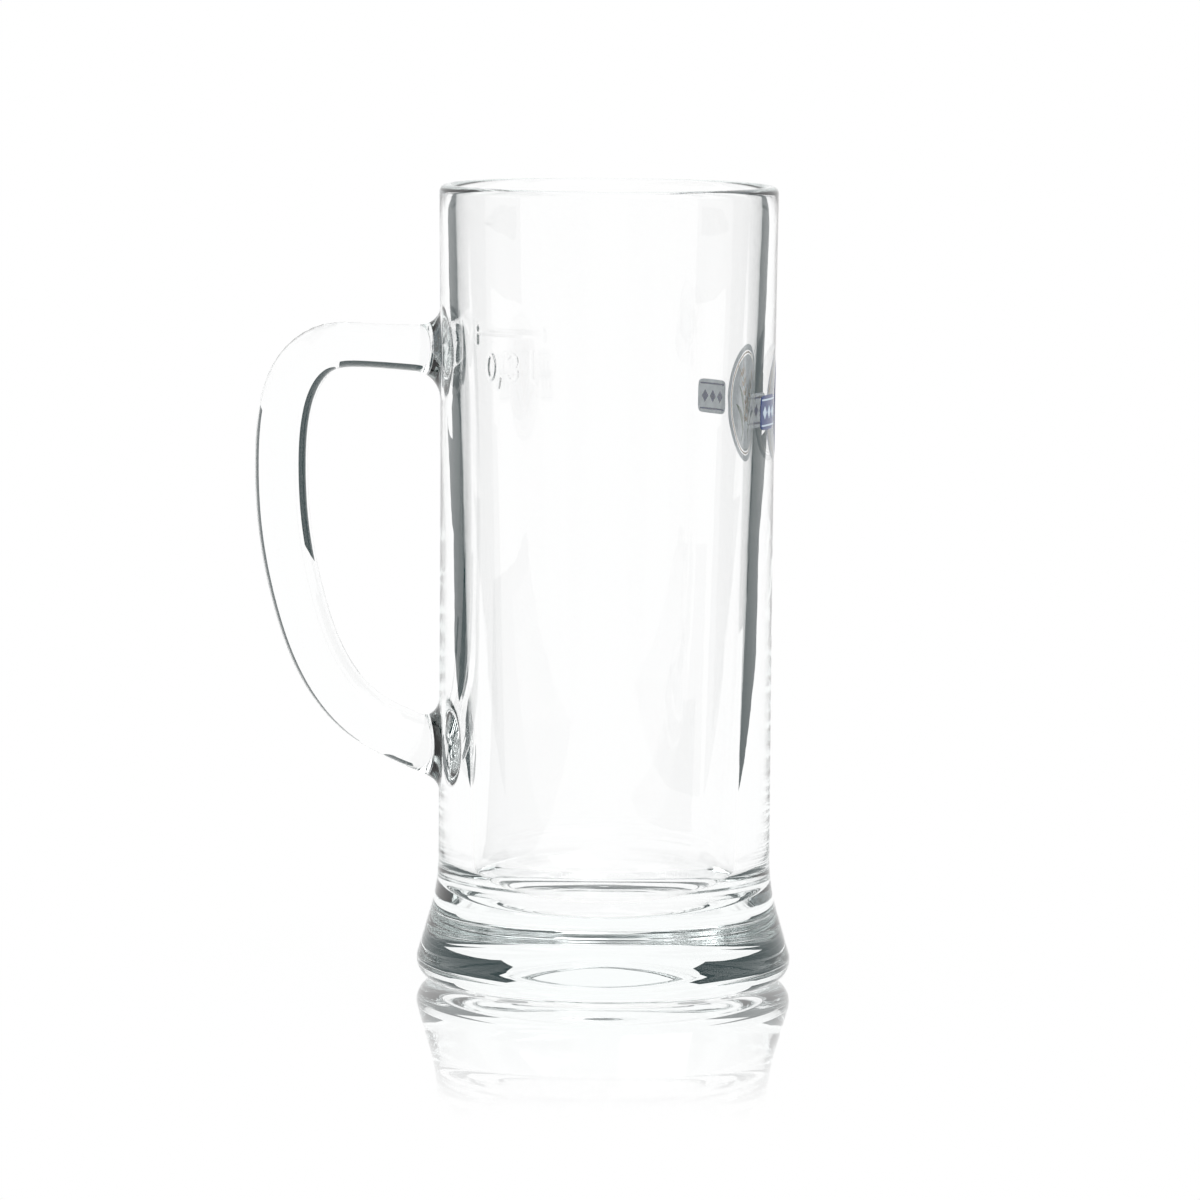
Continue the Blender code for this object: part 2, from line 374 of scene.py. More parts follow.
def outline(body, handle, mark):
    """The turned outline as (radius, height) rows, and the first row of each seat's opening."""
    parts = inner_outline(body)
    lip = lip_outline(body)
    bore_z = np.linspace(parts[-1][-1, 1], lip[0, 1], BORE_POINTS)[1:-1]
    parts.append(np.stack([bore_radius(body, bore_z), bore_z], axis=-1))
    parts.append(lip)
    foot = foot_outline(body)
    upper_top, upper_end = seat_span(handle, handle.upper_seat)
    lower_top, lower_end = seat_span(handle, handle.lower_seat)
    depth, half, gain = MARK_ROWS
    mark_rows = (mark.line_height - depth, half, gain)
    above = np.linspace(lip[-1, 1], upper_top, ABOVE_POINTS)[1:-1]
    upper = graded(upper_end, upper_top, SEAT_ROWS, [mark_rows])[::-1]
    between = np.linspace(upper_end, lower_top, BETWEEN_POINTS)[1:-1]
    lower = np.linspace(lower_top, lower_end, SEAT_ROWS)
    below = np.linspace(lower_end, foot[0][0, 1], BELOW_POINTS)[1:-1]
    rows_before = sum(len(part) for part in parts) + len(above)
    wall_z = np.concatenate([above, upper, between, lower, below])
    parts.append(np.stack([wall_radius(body, wall_z), wall_z], axis=-1))
    rows = np.concatenate(parts + foot)
    return rows, rows_before, rows_before + SEAT_ROWS + len(between)


def columns_round(handle, mark, body):
    """Angles of the grid's columns: even across the seats, closer together at the fill mark."""
    half = (handle.seat_width + handle.seat_margin) / body.waist_radius
    seat = np.linspace(HANDLE_TURN - half, HANDLE_TURN + half, SEAT_COLUMNS)
    wide, gain = MARK_COLUMNS
    mark_columns = (mark.turn, wide * mark.line_half / body.waist_radius, gain)
    rest = graded(seat[-1], seat[0] + 2 * math.pi, ROUND_COLUMNS, [mark_columns])
    return np.concatenate([seat, rest[1:-1]])


def stroke_distance(across, up, strokes):
    """Distance to the nearest stroke: the least, over all straight pieces, of the distance to a piece."""
    nearest = np.full(across.shape, np.inf)
    for stroke in strokes:
        points = np.asarray(stroke)
        for start, end in zip(points[:-1], points[1:]):
            along = end - start
            part = ((across - start[0]) * along[0] + (up - start[1]) * along[1]) / (along @ along)
            part = np.clip(part, 0.0, 1.0)
            gap = np.hypot(across - start[0] - part * along[0], up - start[1] - part * along[1])
            nearest = np.minimum(nearest, gap)
    return nearest


def oval(middle, half_across, half_up, start, end, count):
    """Points on an oval from one angle to another, in degrees."""
    turns = np.radians(np.linspace(start, end, count))
    return np.stack([middle[0] + half_across * np.cos(turns), middle[1] + half_up * np.sin(turns)], axis=-1)


def mark_strokes(mark):
    """The fill line with its end ticks, and under it the volume in figures: 0,3 l."""
    half = mark.line_half
    line = [(-half, 0.0), (half, 0.0)]
    left_tick = [(-half, 0.0008), (-half, -0.0021)]
    right_tick = [(half, 0.0008), (half, -0.0011)]
    nought = oval((-0.0042, -0.0067), 0.0009, 0.0024, 0, 360, 25)
    comma = [(-0.0019, -0.0089), (-0.0022, -0.0106)]
    upper_bow = oval((0.0012, -0.0053), 0.0011, 0.0013, 150, -80, 13)
    lower_bow = oval((0.0012, -0.0078), 0.0012, 0.0014, 80, -150, 13)
    letter = [(0.0058, -0.0034), (0.0058, -0.0085), (0.0061, -0.0091), (0.0066, -0.0092)]
    return [line, left_tick, right_tick, nought, comma, upper_bow, lower_bow, letter]


def mark_relief(mark, body, turns, heights):
    """Height of the raised mark: full on a stroke, falling off smoothly over its edge."""
    across = (turns - mark.turn) * body.waist_radius
    gap = stroke_distance(across, heights - mark.line_height, mark_strokes(mark))
    part = np.clip((mark.stroke / 2 + mark.edge / 2 - gap) / mark.edge, 0.0, 1.0)
    return mark.relief * part**2 * (3 - 2 * part)


def grid_quads(rows, columns, wrap):
    """Corner numbers of the cells of a grid of points; wrap joins the last column to the first."""
    across = columns if wrap else columns - 1
    row, column = np.meshgrid(np.arange(rows - 1), np.arange(across), indexing="ij")
    beside = (column + 1) % columns
    return np.stack(
        [
            row * columns + column,
            (row + 1) * columns + column,
            (row + 1) * columns + beside,
            row * columns + beside,
        ],
        axis=-1,
    )


def on_wall(body, turn, across, heights, lift):
    """Points on the outer wall: across is measured round it from turn, lift stands off the glass."""
    radius = wall_radius(body, heights) + lift
    turns = turn + across / body.waist_radius
    return np.stack([AXIS_X + radius * np.cos(turns), radius * np.sin(turns), heights], axis=-1)


def seat_loop(first_row, columns, from_top):
    """Numbers of the points round a seat's opening, from its middle column towards the viewer.

    The loop starts at the top for the upper seat and at the bottom for the lower one, so that it
    starts on the outer side of the handle's bend.
    """
    last_row = first_row + SEAT_ROWS - 1
    middle, last = SEAT_COLUMNS // 2, SEAT_COLUMNS - 1
    near, far = (first_row, last_row) if from_top else (last_row, first_row)
    step = 1 if from_top else -1
    down = np.arange(near, far, step)
    up = np.arange(far, near, -step)
    row = np.concatenate(
        [np.full(last - middle, near), down, np.full(last, far), up, np.full(middle, near)]
    )
    column = np.concatenate(
        [
            np.arange(middle, last),
            np.full(len(down), last),
            np.arange(last, 0, -1),
            np.full(len(up), 0),
            np.arange(0, middle),
        ]
    )
    return row * columns + column


def natural_spline(knots, values, places):
    """Cubic through the values, straight at both ends: its second derivatives solve a band of equations."""
    gaps = np.diff(knots)
    count = len(knots)
    matrix = np.eye(count)
    bends = np.zeros_like(values)
    inner = np.arange(1, count - 1)
    matrix[inner, inner - 1] = gaps[:-1]
    matrix[inner, inner] = 2 * (gaps[:-1] + gaps[1:])
    matrix[inner, inner + 1] = gaps[1:]
    slopes = np.diff(values, axis=0) / gaps[:, None]
    bends[1:-1] = 6 * np.diff(slopes, axis=0)
    second = np.linalg.solve(matrix, bends)
    piece = np.clip(np.searchsorted(knots, places) - 1, 0, count - 2)
    gap = gaps[piece][:, None]
    after = (places - knots[piece])[:, None]
    before = gap - after
    curve = (second[piece] * before**3 + second[piece + 1] * after**3) / (6 * gap)
    curve += (values[piece] / gap - second[piece] * gap / 6) * before
    curve += (values[piece + 1] / gap - second[piece + 1] * gap / 6) * after
    return curve


def handle_rings(upper_turns, lower_turns):
    """Round sections of the rod, square to a cubic through its stations.

    A point is the middle plus half the thickness times the cosine along the outer side, plus half the
    thickness times the sine towards the viewer; its angle goes over from one seat's to the other's.
    """
    stations = np.array(HANDLE_STATIONS)
    knots = np.concatenate([[0.0], np.cumsum(np.hypot(*np.diff(stations[:, :2], axis=0).T))])
    places = np.linspace(0.0, knots[-1], TUBE_ROWS)
    curve = natural_spline(knots, stations, places)
    slope = np.gradient(curve[:, :2], places, axis=0, edge_order=2)
    slope /= np.linalg.norm(slope, axis=1, keepdims=True)
    way = (places / knots[-1])[:, None]
    turns = upper_turns * (1 - way) + lower_turns * way
    thick = curve[:, 2:3] / 2
    out = thick * np.cos(turns)
    reach = curve[:, 0:1] - slope[:, 1:2] * out
    height = curve[:, 1:2] + slope[:, 0:1] * out
    width = thick * np.sin(turns)
    rings = np.stack([AXIS_X - reach, -width, height], axis=-1)
    away = np.stack([-slope[:, 0], np.zeros(len(slope)), slope[:, 1]], axis=-1)
    return rings, away


def seat_rows(body, handle, edge, middle, side, turns, ring, away):
    """Rows from the edge of a seat's opening over the plain wall and the fillet to the rod.

    On the wall the rows go straight from the opening to an oval; from the oval to the rod's first
    section each point follows a cubic that leaves along the wall and arrives along the rod.
    """
    oval_across = handle.seat_width * np.sin(turns)
    oval_height = middle + side * handle.seat_height * np.cos(turns)
    part = np.linspace(0.0, 1.0, PATCH_ROWS)[:, None]
    across = edge[0] * (1 - part) + oval_across * part
    height = edge[1] * (1 - part) + oval_height * part
    patch = on_wall(body, HANDLE_TURN, across, height, 0.0)
    start = patch[-1]
    bend = oval_across / body.waist_radius
    along_across = np.stack([np.sin(bend), -np.cos(bend), np.zeros_like(bend)], axis=-1)
    ring_across = -ring[:, 1]
    ring_height = ring[:, 2]
    pull = along_across * (ring_across - oval_across)[:, None]
    pull[:, 2] += ring_height - oval_height
    out = np.abs(start[:, 0] - ring[:, 0])[:, None]
    first = start + handle.wall_pull * pull
    second = ring - handle.rod_pull * out * away
    t = np.linspace(0.0, 1.0, FILLET_ROWS)[1:-1, None, None]
    fillet = (1 - t) ** 3 * start + 3 * (1 - t) ** 2 * t * first + 3 * (1 - t) * t**2 * second + t**3 * ring
    return np.concatenate([patch, fillet])


def sleeve_points(body, handle, points, turns, rows, loops):
    """The handle as one sleeve of rows, from the opening of the upper seat to that of the lower one."""
    edges = []
    angles = []
    columns = len(turns)
    for loop, middle, side in zip(loops, (handle.upper_seat, handle.lower_seat), (1.0, -1.0)):
        across = (turns[loop % columns] - HANDLE_TURN) * body.waist_radius
        height = rows[loop // columns, 1]
        angle_round = np.arctan2(across / handle.seat_width, side * (height - middle) / handle.seat_height)
        angles.append(angle_round % (2 * math.pi))
        edges.append((across, height))
    rings, away = handle_rings(angles[0], angles[1])
    upper = seat_rows(body, handle, edges[0], handle.upper_seat, 1.0, angles[0], rings[0], away[0])
    lower = seat_rows(body, handle, edges[1], handle.lower_seat, -1.0, angles[1], rings[-1], -away[-1])
    upper[0] = points[loops[0]]
    lower[0] = points[loops[1]]
    return np.concatenate([upper, rings, lower[::-1]])


def glass_mesh(body, handle, mark):
    """One closed skin of glass: the turned outline with two openings, joined by the handle's sleeve."""
    rows, upper_row, lower_row = outline(body, handle, mark)
    turns = columns_round(handle, mark, body)
    columns = len(turns)
    radius = np.repeat(rows[:, :1], columns, axis=1)
    height = np.repeat(rows[:, 1:], columns, axis=1)
    seat = slice(upper_row, upper_row + SEAT_ROWS)
    radius[seat] += mark_relief(mark, body, turns[None, :], height[seat])
    points = np.stack([AXIS_X + radius * np.cos(turns), radius * np.sin(turns), height], axis=-1)
    points = points.reshape(-1, 3)
    cells = grid_quads(len(rows), columns, True)
    kept = np.ones(cells.shape[:2], bool)
    for first in (upper_row, lower_row):
        kept[first : first + SEAT_ROWS - 1, : SEAT_COLUMNS - 1] = False
    loops = (seat_loop(upper_row, columns, True), seat_loop(lower_row, columns, False))
    sleeve = sleeve_points(body, handle, points, turns, rows, loops)
    sleeve_cells = grid_quads(sleeve.shape[0], sleeve.shape[1], True).reshape(-1, 4) + len(points)
    all_points = np.concatenate([points, sleeve.reshape(-1, 3)])
    return all_points, np.concatenate([cells[kept], sleeve_cells])


def make_piece(name, points, quads, *materials):
    """A smooth welded object at the origin from points and cells; a closed one has its faces outwards."""
    used, numbers = np.unique(quads, return_inverse=True)
    mesh = bpy.data.meshes.new(name)
    mesh.from_pydata(points.reshape(-1, 3)[used].tolist(), [], numbers.reshape(-1, 4).tolist())
    welded = bmesh.new()
    welded.from_mesh(mesh)
    bmesh.ops.remove_doubles(welded, verts=welded.verts, dist=WELD_DISTANCE)
    if all(edge.is_manifold for edge in welded.edges):
        bmesh.ops.recalc_face_normals(welded, faces=welded.faces)
    welded.to_mesh(mesh)
    welded.free()
    mesh.shade_smooth()
    for material in materials:
        mesh.materials.append(material)
    piece = bpy.data.objects.new(name, mesh)
    bpy.context.scene.collection.objects.link(piece)
    return piece


def new_material(name):
    """A material with an empty node tree and its output."""
    material = bpy.data.materials.new(name)
    material.use_nodes = True
    material.node_tree.nodes.clear()
    output = material.node_tree.nodes.new("ShaderNodeOutputMaterial")
    return material, material.node_tree.nodes, material.node_tree.links, output


def add_node(nodes, kind, **values):
    """A shader node of a kind; the values go to the inputs of those names, with _ for a space."""
    node = nodes.new("ShaderNode" + kind)
    for name, value in values.items():
        node.inputs[name.replace("_", " ")].default_value = value
    return node


def compare(nodes, links, operation, first, second):
    """A Math node's value for an output and another output or a number."""
    node = nodes.new("ShaderNodeMath")
    node.operation = operation
    links.new(first, node.inputs[0])
    if isinstance(second, float):
        node.inputs[1].default_value = second
    else:
        links.new(second, node.inputs[1])
    return node.outputs["Value"]


def mix(nodes, links, part, first, second):
    """The first shader, going over to the second as part goes from 0 to 1."""
    node = nodes.new("ShaderNodeMixShader")
    for place, output in enumerate((part, first, second)):
        links.new(output, node.inputs[place])
    return node.outputs["Shader"]


def wave_bump(nodes, links, scale, strength, distance):
    """Faint unevenness of a surface: a soft noise on Object coordinates, as bump."""
    place = add_node(nodes, "TexCoord")
    noise = add_node(nodes, "TexNoise", Scale=scale, Detail=2.0)
    bump = add_node(nodes, "Bump", Strength=strength, Distance=distance)
    links.new(place.outputs["Object"], noise.inputs["Vector"])
    links.new(noise.outputs["Fac"], bump.inputs["Height"])
    return noise, bump


def glass_material(look):
    """Clear soda-lime glass, smooth and faintly waved, with a tint that builds up with its thickness."""
    material, nodes, links, output = new_material("clear_glass")
    glass = add_node(nodes, "BsdfPrincipled", Base_Color=WHITE, IOR=look.index)
    glass.inputs["Transmission Weight"].default_value = 1.0
    glass.inputs["Roughness"].default_value = 0.0
    bump = wave_bump(nodes, links, scale=90.0, strength=look.wave, distance=0.001)[1]
    absorb = add_node(nodes, "VolumeAbsorption", Color=(*look.tint, 1.0), Density=look.density)
    links.new(bump.outputs["Normal"], glass.inputs["Normal"])
    links.new(glass.outputs["BSDF"], output.inputs["Surface"])
    links.new(absorb.outputs["Volume"], output.inputs["Volume"])
    return material


def enamel_material(name, tone):
    """Fired enamel: satin, with a slightly uneven colour and skin."""
    material, nodes, links, output = new_material(name)
    enamel = add_node(nodes, "BsdfPrincipled", IOR=1.5)
    noise, bump = wave_bump(nodes, links, scale=900.0, strength=0.25, distance=0.00002)
    ramp = add_node(nodes, "ValToRGB")
    for element, place, gain in zip(ramp.color_ramp.elements, TONE_PLACES, TONE_GAINS):
        element.position = place
        element.color = (*(min(1.0, gain * part) for part in tone), 1.0)
    rough = add_node(nodes, "MapRange", To_Min=ROUGHNESS[0], To_Max=ROUGHNESS[1])
    links.new(noise.outputs["Fac"], ramp.inputs["Fac"])
    links.new(noise.outputs["Fac"], rough.inputs["Value"])
    links.new(ramp.outputs["Color"], enamel.inputs["Base Color"])
    links.new(rough.outputs["Result"], enamel.inputs["Roughness"])
    links.new(bump.outputs["Normal"], enamel.inputs["Normal"])
    links.new(enamel.outputs["BSDF"], output.inputs["Surface"])
    return material


class MUG_OT_glass(bpy.types.Operator):
    """Press the body, the handle and the fill mark in one piece of glass"""

    bl_idname = "mug.make_glass"
    bl_label = "Make Glass"

    def execute(self, context):
        scene = context.scene
        points, quads = glass_mesh(scene.mug_body, scene.mug_handle, scene.mug_mark)
        glass = make_piece("mug_glass", points, quads, glass_material(scene.mug_glass))
        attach(glass, "root")
        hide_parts("glass_body", "handle")
        return {"FINISHED"}


def round_sheet(middle, half_across, half_up, inner=0.0, power=2.0):
    """Flat round sheet: shares of a superellipse from the inner one to 1, closed at the middle for 0.

    A power of 2 gives an ellipse, 1 a lozenge, and more than 2 a rectangle with round corners.
    """
    part = np.linspace(inner, 1.0, SHEET_ROWS)[:, None]
    turns = np.linspace(0.0, 2 * math.pi, SHEET_COLUMNS + 1)[None, :-1]
    cosine, sine = np.cos(turns), np.sin(turns)
    across = middle[0] + half_across * part * np.sign(cosine) * np.abs(cosine) ** (2 / power)
    up = middle[1] + half_up * part * np.sign(sine) * np.abs(sine) ** (2 / power)
    return np.stack([across, up], axis=-1), grid_quads(SHEET_ROWS, SHEET_COLUMNS, True).reshape(-1, 4)


def leaf_sheets(starts, ends, half_widths, bows):
    """Flat leaves, all at once: rows along each leaf, columns across it, and the height of its soft crown.

    The middle line goes from start to end and bows to its left with the sine of the way along; the
    half width follows the same sine, so both tips are points.
    """
    way = np.linspace(0.0, 1.0, LEAF_ROWS)[None, :, None]
    side = np.linspace(-1.0, 1.0, LEAF_COLUMNS)[None, None, :]
    along = ends - starts
    left = np.stack([-along[:, 1], along[:, 0]], axis=-1) / np.linalg.norm(along, axis=1, keepdims=True)
    swell = np.sin(math.pi * way)
    offset = bows[:, None, None] * swell + half_widths[:, None, None] * swell**0.8 * side
    middle = starts[:, None, None] + along[:, None, None] * way[..., None]
    flat = middle + left[:, None, None] * offset[..., None]
    crown = np.broadcast_to((1 - side**2) * swell, offset.shape)
    cells = grid_quads(LEAF_ROWS, LEAF_COLUMNS, False).reshape(1, -1, 4)
    first = np.arange(len(starts)) * LEAF_ROWS * LEAF_COLUMNS
    return flat, crown, (cells + first[:, None, None]).reshape(-1, 4)


def turned(ways, degrees):
    """Directions turned to the left."""
    cosine, sine = np.cos(np.radians(degrees)), np.sin(np.radians(degrees))
    across, up = ways.T
    return np.stack([across * cosine - up * sine, across * sine + up * cosine], axis=-1)


def joined(sheets):
    """Several flat sheets as one list of points and cells."""
    points = [flat.reshape(-1, 2) for flat, quads in sheets]
    first = np.cumsum([0] + [len(part) for part in points[:-1]])
    cells = [quads + start for (_, quads), start in zip(sheets, first)]
    return np.concatenate(points), np.concatenate(cells)


def fire_on(scene, name, flat, quads, lift, depth, *materials):
    """Carry flat sheets onto the wall as enamel; a second material goes to the side towards the glass."""
    look = scene.mug_print
    points = on_wall(scene.mug_body, look.turn, flat[..., 0], look.height + flat[..., 1], lift)
    plate = make_piece(name, points, quads, *materials)
    solid = plate.modifiers.new("depth", "SOLIDIFY")
    solid.thickness = depth
    solid.offset = -1.0
    solid.material_offset = len(materials) - 1
    smooth = plate.modifiers.new("smooth", "WEIGHTED_NORMAL")
    smooth.weight = 100
    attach(plate, "root")
    return plate


def stalk_line(side, way):
    """Points and directions on a stalk: a bow from its foot to its tip; side mirrors it."""
    foot, bend, tip = (np.array(point) * (side, 1.0) for point in STALK)
    point = (1 - way) ** 2 * foot + 2 * (1 - way) * way * bend + way**2 * tip
    slope = 2 * (1 - way) * (bend - foot) + 2 * way * (tip - bend)
    return point, slope / np.linalg.norm(slope, axis=1, keepdims=True)


def ear_leaves(side):
    """Grains in two rows up the stalk and one at its tip, with fine awns: starts, ends and half widths."""
    point, slope = stalk_line(side, np.linspace(EAR_START, 1.0, GRAIN_PAIRS)[:, None])
    starts, ends, widths = [point[-1:]], [point[-1:] + GRAIN_LENGTH * slope[-1:]], [np.full(1, GRAIN_HALF)]
    for hand in (-1, 1):
        ways = turned(slope, hand * GRAIN_LEAN)
        base = point + hand * GRAIN_OFFSET * turned(slope, 90.0)
        tips = base + GRAIN_LENGTH * ways
        starts += [base, tips - 0.2 * GRAIN_LENGTH * ways]
        ends += [tips, tips + AWN_LENGTH * turned(slope, hand * GRAIN_LEAN / 2)]
        widths += [np.full(GRAIN_PAIRS, GRAIN_HALF), np.full(GRAIN_PAIRS, AWN_HALF)]
    return np.concatenate(starts), np.concatenate(ends), np.concatenate(widths)


class MUG_OT_panel(bpy.types.Operator):
    """Print the round panel: a pale field in a thin gold line and a blue ring"""

    bl_idname = "mug.make_panel"
    bl_label = "Make Panel"

    def execute(self, context):
        scene = context.scene
        look = scene.mug_print
        pale = enamel_material("grey_blue_enamel", look.field)
        blue = enamel_material("blue_enamel", look.blue)
        gold = enamel_material("gold_enamel", look.gold)
        back = enamel_material("back_enamel", look.back)
        line_outer = look.ring_radius - look.ring_width - look.gap
        field_outer = line_outer - look.line_width - look.gap
        for name, outer, width, slot, materials in (
            ("panel_field", field_outer, field_outer, "grey_blue_enamel", (pale, back)),
            ("panel_line", line_outer, look.line_width, "grey_blue_enamel", (gold,)),
            ("panel_ring", look.ring_radius, look.ring_width, "blue_enamel", (blue, back)),
        ):
            flat, quads = round_sheet((0.0, 0.0), outer, outer, 1 - width / outer)
            plate = fire_on(scene, name, flat, quads, look.lift, look.depth, *materials)
            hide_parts("enamel_panel")
        return {"FINISHED"}


class MUG_OT_ears(bpy.types.Operator):
    """Print two crossed ears of barley on the panel"""

    bl_idname = "mug.make_ears"
    bl_label = "Make Ears"

    def execute(self, context):
        scene = context.scene
        look = scene.mug_print
        gold = bpy.data.materials["gold_enamel"]
        green = enamel_material("green_enamel", look.green)
        depth = look.depth + 2 * look.relief
        for name, side in (("ear_left", -1.0), ("ear_right", 1.0)):
            starts, ends, widths = ear_leaves(side)
            flat, crown, quads = leaf_sheets(starts, ends, widths, np.zeros(len(starts)))
            lift = look.lift + look.relief * (1.0 + CROWN_GAIN * crown) + (side + 1) * LAYER
            ear = fire_on(scene, name, flat, quads, lift, depth + (side + 1) * LAYER, gold)
            point, slope = stalk_line(side, np.linspace(0.0, 1.0, LEAF_ROWS)[:, None])
            across = np.linspace(-STALK_HALF, STALK_HALF, LEAF_COLUMNS)[None, :, None]
            stalk = point[:, None] + turned(slope, 90.0)[:, None] * across
            stalk_cells = grid_quads(LEAF_ROWS, LEAF_COLUMNS, False).reshape(-1, 4)
            leaf_ends = np.array(LEAF_ENDS) * (side, 1.0)
            blade, _, blade_cells = leaf_sheets(
                leaf_ends[:, 0], leaf_ends[:, 1], np.array(LEAF_HALVES), side * np.array(LEAF_BOWS)
            )
            flat, quads = joined([(stalk, stalk_cells), (blade, blade_cells)])
            lift = look.lift + look.relief / 2 + (side + 1) * LAYER / 2
            stem = fire_on(scene, name + "_stem", flat, quads, lift, depth - look.relief, green)
        return {"FINISHED"}


class MUG_OT_bars(bpy.types.Operator):
    """Print a blue bar with pale marks on each side of the panel"""

    bl_idname = "mug.make_bars"
    bl_label = "Make Bars"

    def execute(self, context):
        scene = context.scene
        look = scene.mug_print
        pale = bpy.data.materials["grey_blue_enamel"]
        blue = bpy.data.materials["blue_enamel"]
        back = bpy.data.materials["back_enamel"]
        half = (look.bar_end - look.bar_start) / 2
        half_up = look.bar_height / 2
        middle = (look.bar_start + look.bar_end) / 2
        for name, side in (("bar_left", -1.0), ("bar_right", 1.0)):
            centre = (side * middle, 0.0)
            flat, quads = round_sheet(centre, half, half_up, 0.0, BAR_POWER)
            bar = fire_on(scene, name, flat, quads, look.lift, look.depth, blue, back)
            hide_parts("enamel_" + name)
            marks = []
            across, up = LOZENGE_HALF
            for step in (-1.0, 0.0, 1.0):
                place = (centre[0] + LOZENGE_STEP * step * half, 0.0)
                marks.append(round_sheet(place, across * half, up * half_up, 0.0, LOZENGE_POWER))
            across, up = BORDER_HALF
            for end in (-1.0, 1.0):
                place = (centre[0], end * BORDER_RISE * half_up)
                marks.append(round_sheet(place, across * half, up * half_up, 0.0, BAR_POWER))
            flat, quads = joined(marks)
            depth = look.depth + 2 * look.relief
            mark = fire_on(scene, name + "_marks", flat, quads, look.lift + look.relief, depth, pale, blue)
        return {"FINISHED"}


def light_seen(nodes, links):
    """1 for rays that come from gloss or through glass, and 1 for rays from the camera."""
    rays = add_node(nodes, "LightPath").outputs
    through = compare(nodes, links, "MAXIMUM", rays["Is Glossy Ray"], rays["Is Transmission Ray"])
    return through, rays["Is Camera Ray"]


def fading(nodes, links, distance, start, end, strength):
    """A value that falls smoothly from strength at the start distance to 0 at the end distance."""
    fade = add_node(nodes, "MapRange", From_Min=start, From_Max=end, To_Min=strength, To_Max=0.0)
    fade.interpolation_type = "SMOOTHSTEP"
    links.new(distance, fade.inputs["Value"])
    return fade.outputs["Result"]


def table_material(studio):
    """White gloss table: seen as white, with the mug's shadow and its mirror image fading outwards."""
    material, nodes, links, output = new_material("white_table")
    place = add_node(nodes, "TexCoord")
    centre = add_node(nodes, "Mapping", Location=(-AXIS_X, 0.0, 0.0))
    distance = add_node(nodes, "VectorMath")
    distance.operation = "LENGTH"
    links.new(place.outputs["Object"], centre.inputs["Vector"])
    links.new(centre.outputs["Vector"], distance.inputs[0])
    away = distance.outputs["Value"]
    white = add_node(nodes, "Emission").outputs["Emission"]
    lit = add_node(nodes, "BsdfDiffuse", Color=TABLE_COLOUR).outputs["BSDF"]
    mirror = add_node(nodes, "BsdfGlossy", Color=WHITE, Roughness=0.0).outputs["BSDF"]
    shade = fading(nodes, links, away, 0.0, studio.shade_end, studio.shade)
    sheen = fading(nodes, links, away, studio.sheen_start, studio.sheen_end, studio.sheen)
    shaded = mix(nodes, links, shade, white, lit)
    glossed = mix(nodes, links, sheen, shaded, mirror)
    through, direct = light_seen(nodes, links)
    plain = mix(nodes, links, through, lit, white)
    links.new(mix(nodes, links, direct, plain, glossed), output.inputs["Surface"])
    material.cycles.emission_sampling = "NONE"
    return material


def card_material(studio, name, reflections, straight=False):
    """A dark card: one deep grey from every side, for light reflected so many times or more in the glass.

    A straight one darkens only light that was reflected fewer times than that.
    """
    material, nodes, links, output = new_material(name)
    dark = add_node(nodes, "Emission", Color=(*studio.card, 1.0)).outputs["Emission"]
    clear = add_node(nodes, "BsdfTransparent").outputs["BSDF"]
    count = add_node(nodes, "LightPath").outputs["Glossy Depth"]
    enough = compare(nodes, links, "LESS_THAN" if straight else "GREATER_THAN", count, reflections - 0.5)
    links.new(mix(nodes, links, enough, clear, dark), output.inputs["Surface"])
    material.cycles.emission_sampling = "NONE"
    return material


def make_table(studio):
    """Round table top: rings of points about the axis, closed at the middle, just under the mug's ring."""
    radius = np.array([*TABLE_RINGS, studio.table_radius])[:, None]
    turns = np.linspace(0.0, 2 * math.pi, TABLE_COLUMNS + 1)[None, :-1]
    flat = np.full((len(radius), TABLE_COLUMNS), -TABLE_DROP)
    points = np.stack([AXIS_X + radius * np.cos(turns), radius * np.sin(turns), flat], axis=-1)
    quads = grid_quads(len(radius), TABLE_COLUMNS, True).reshape(-1, 4)
    table = make_piece("table_top", points, quads, table_material(studio))


def make_card(name, corners, material):
    """A flat card from the two ends of one side and of the opposite side; it is seen only through glass."""
    card = make_piece(name, np.array(corners), grid_quads(2, 2, False).reshape(-1, 4), material)
    for light in ("camera", "diffuse", "glossy", "shadow", "volume_scatter"):
        setattr(card, "visible_" + light, False)


def make_cards(studio):
    """Dark cards that draw the dark lines in the glass, on each side of the mug, overhead and on the table.

    A side card has a notch in its far edge, where the glass sees white between a wing and a toe. The
    mats on the table draw the handle from the other sides.
    """
    names = ("dark_card", "strip_card", "front_card")
    shades = [card_material(studio, name, count) for count, name in enumerate(names)]
    straight_shade = card_material(studio, "straight_card", 1, True)
    for name, (offset, near, far, near_low, near_top, far_low, far_top, count) in SIDE_CARDS.items():
        for hand, side in (("left", -1), ("right", 1)):
            x = AXIS_X + side * offset
            corners = [(x, near, near_low), (x, near, near_top), (x, far, far_low), (x, far, far_top)]
            make_card(name + "_" + hand, corners, shades[count])
    for name, (left, right, near, far, height, straight) in LEVEL_CARDS.items():
        corners = [(left, near, height), (left, far, height), (right, near, height), (right, far, height)]
        make_card(name, corners, straight_shade if straight else shades[0])


